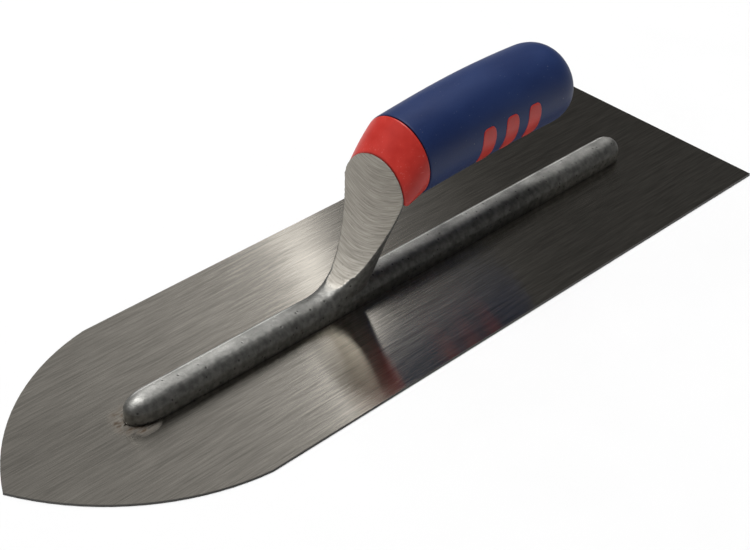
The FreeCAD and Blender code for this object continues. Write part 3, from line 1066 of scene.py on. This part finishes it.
def direction(azimuth, elevation):
    """Unit vector: azimuth runs from +Y towards -X, both in degrees."""
    azimuth, elevation = math.radians(azimuth), math.radians(elevation)
    return Vector((-math.sin(azimuth) * math.cos(elevation), math.cos(azimuth) * math.cos(elevation),
                   math.sin(elevation)))


def make_floor():
    floor = link("floor", panel_mesh("floor", FLOOR_SIZE, FLOOR_SIZE, FLOOR_STEPS))
    floor.location.z = cad_bounds[0][2] - FLOOR_DROP
    paint(floor, pale_paper())


def make_sun(name, towards, strength, softness):
    """Even light from one direction. softness is the width of its disc in degrees."""
    data = bpy.data.lights.new(name, "SUN")
    data.energy = strength
    data.angle = math.radians(softness)
    lamp = link(name, data)
    lamp.matrix_world = towards.to_track_quat("Z", "Y").to_matrix().to_4x4()


def make_lamp(name, place, size, power):
    """Soft rectangular lamp that faces the object. power is in watts."""
    data = bpy.data.lights.new(name, "AREA")
    data.shape = "RECTANGLE"
    data.size, data.size_y = size
    data.energy = power
    lamp = link(name, data)
    lamp.matrix_world = facing(place, ORIGIN) @ Matrix.Rotation(math.pi, 4, "Y")
    lamp.visible_camera = False


def make_world():
    """White to the camera, and a dim even studio to the surfaces."""
    world = bpy.data.worlds.new("studio")
    bpy.context.scene.world = world
    world.use_nodes = True
    tree = world.node_tree
    backdrop = tree.nodes["Background"]
    seen = add(tree, "ShaderNodeLightPath").outputs["Is Camera Ray"]
    glow = span(tree, seen, 0, 1, low=STUDIO_GLOW, high=BACKDROP_GLOW)
    fill(tree, backdrop, {"Color": (1, 1, 1, 1), "Strength": glow})


# ---------------------------------------------------------------------------------------------
# softbox card, which the blade mirrors

CARD_DISTANCE = 1.3
CARD_AZIMUTH = 43.8
CARD_ELEVATION = 37
CARD_TURN = -31
CARD_SIZE = (1.1, 0.9)
CARD_STEPS = 2
CARD_GLOW = 1.7
CARD_BASE = 0.032

# bright band down the card: half width, gains at its lower and upper end, and half the run between them
BAND_HALF = 0.055
BAND_POWER = 2.0
BAND_RUN = 0.06
BAND_GAINS = (1.15, 2.5)

# dim tails on both sides of the band: levels, and how far each takes to start
TAIL_START = 0.03
NOSE_LEVELS = (0.2, 0.42)
NOSE_POWER = 3.0
HEEL_LEVEL = 0.4
HEEL_POWER = 4.0
HEEL_TOP = 0.01
HEEL_FULL = -0.05


def card_fade(tree, side, up):
    """Glow over the card: a thin bright band, with a dim tail towards the nose, and low down to the heel."""
    half = CARD_SIZE[0] / 2
    band = span(tree, maths(tree, "ABSOLUTE", side), 0.0, BAND_HALF, low=1.0, high=0.0)
    band = maths(tree, "POWER", band, BAND_POWER)
    band = times(tree, band, span(tree, up, -BAND_RUN, BAND_RUN, *BAND_GAINS))
    nose = maths(tree, "POWER", span(tree, side, -half, 0.0), NOSE_POWER)
    nose = span(tree, nose, 0.0, 1.0, *NOSE_LEVELS)
    nose = times(tree, nose, span(tree, side, TAIL_START, 0.0))
    heel = maths(tree, "POWER", span(tree, side, TAIL_START, half, low=1.0, high=0.0), HEEL_POWER)
    heel = times(tree, heel, span(tree, side, 0.0, TAIL_START, high=HEEL_LEVEL))
    heel = times(tree, heel, span(tree, up, HEEL_TOP, HEEL_FULL))
    tails = maths(tree, "MAXIMUM", maths(tree, "MAXIMUM", nose, heel), CARD_BASE)
    return maths(tree, "MAXIMUM", band, tails)


def card_glow():
    """Emission that follows card_fade over the card's own X and Y."""
    material = bpy.data.materials.new("softbox_glow")
    material.use_nodes = True
    tree = material.node_tree
    tree.nodes.clear()
    axes = split(tree, add(tree, "ShaderNodeTexCoord").outputs["Object"])
    fade = card_fade(tree, axes["X"], axes["Y"])
    light = add(tree, "ShaderNodeEmission", {"Strength": times(tree, fade, CARD_GLOW)})
    output = add(tree, "ShaderNodeOutputMaterial")
    tree.links.new(light.outputs[0], output.inputs["Surface"])
    return material


def make_card():
    """Strip softbox that the blade mirrors: bright beside the neck, fading towards the nose."""
    card = link("softbox", panel_mesh("softbox", *CARD_SIZE, CARD_STEPS))
    place = direction(CARD_AZIMUTH, CARD_ELEVATION) * CARD_DISTANCE
    card.matrix_world = facing(place, ORIGIN) @ Matrix.Rotation(math.radians(CARD_TURN), 4, "Z")
    paint(card, card_glow())
    card.visible_camera = False
    card.visible_shadow = False


make_camera()
make_floor()
make_world()
make_card()
make_sun("key", direction(*KEY_TOWARDS), KEY_STRENGTH, KEY_SOFTNESS)
make_lamp("front", FRONT_PLACE, FRONT_SIZE, FRONT_POWER)
make_lamp("low", LOW_PLACE, LOW_SIZE, LOW_POWER)

bpy.context.scene.view_settings.view_transform = "Standard"
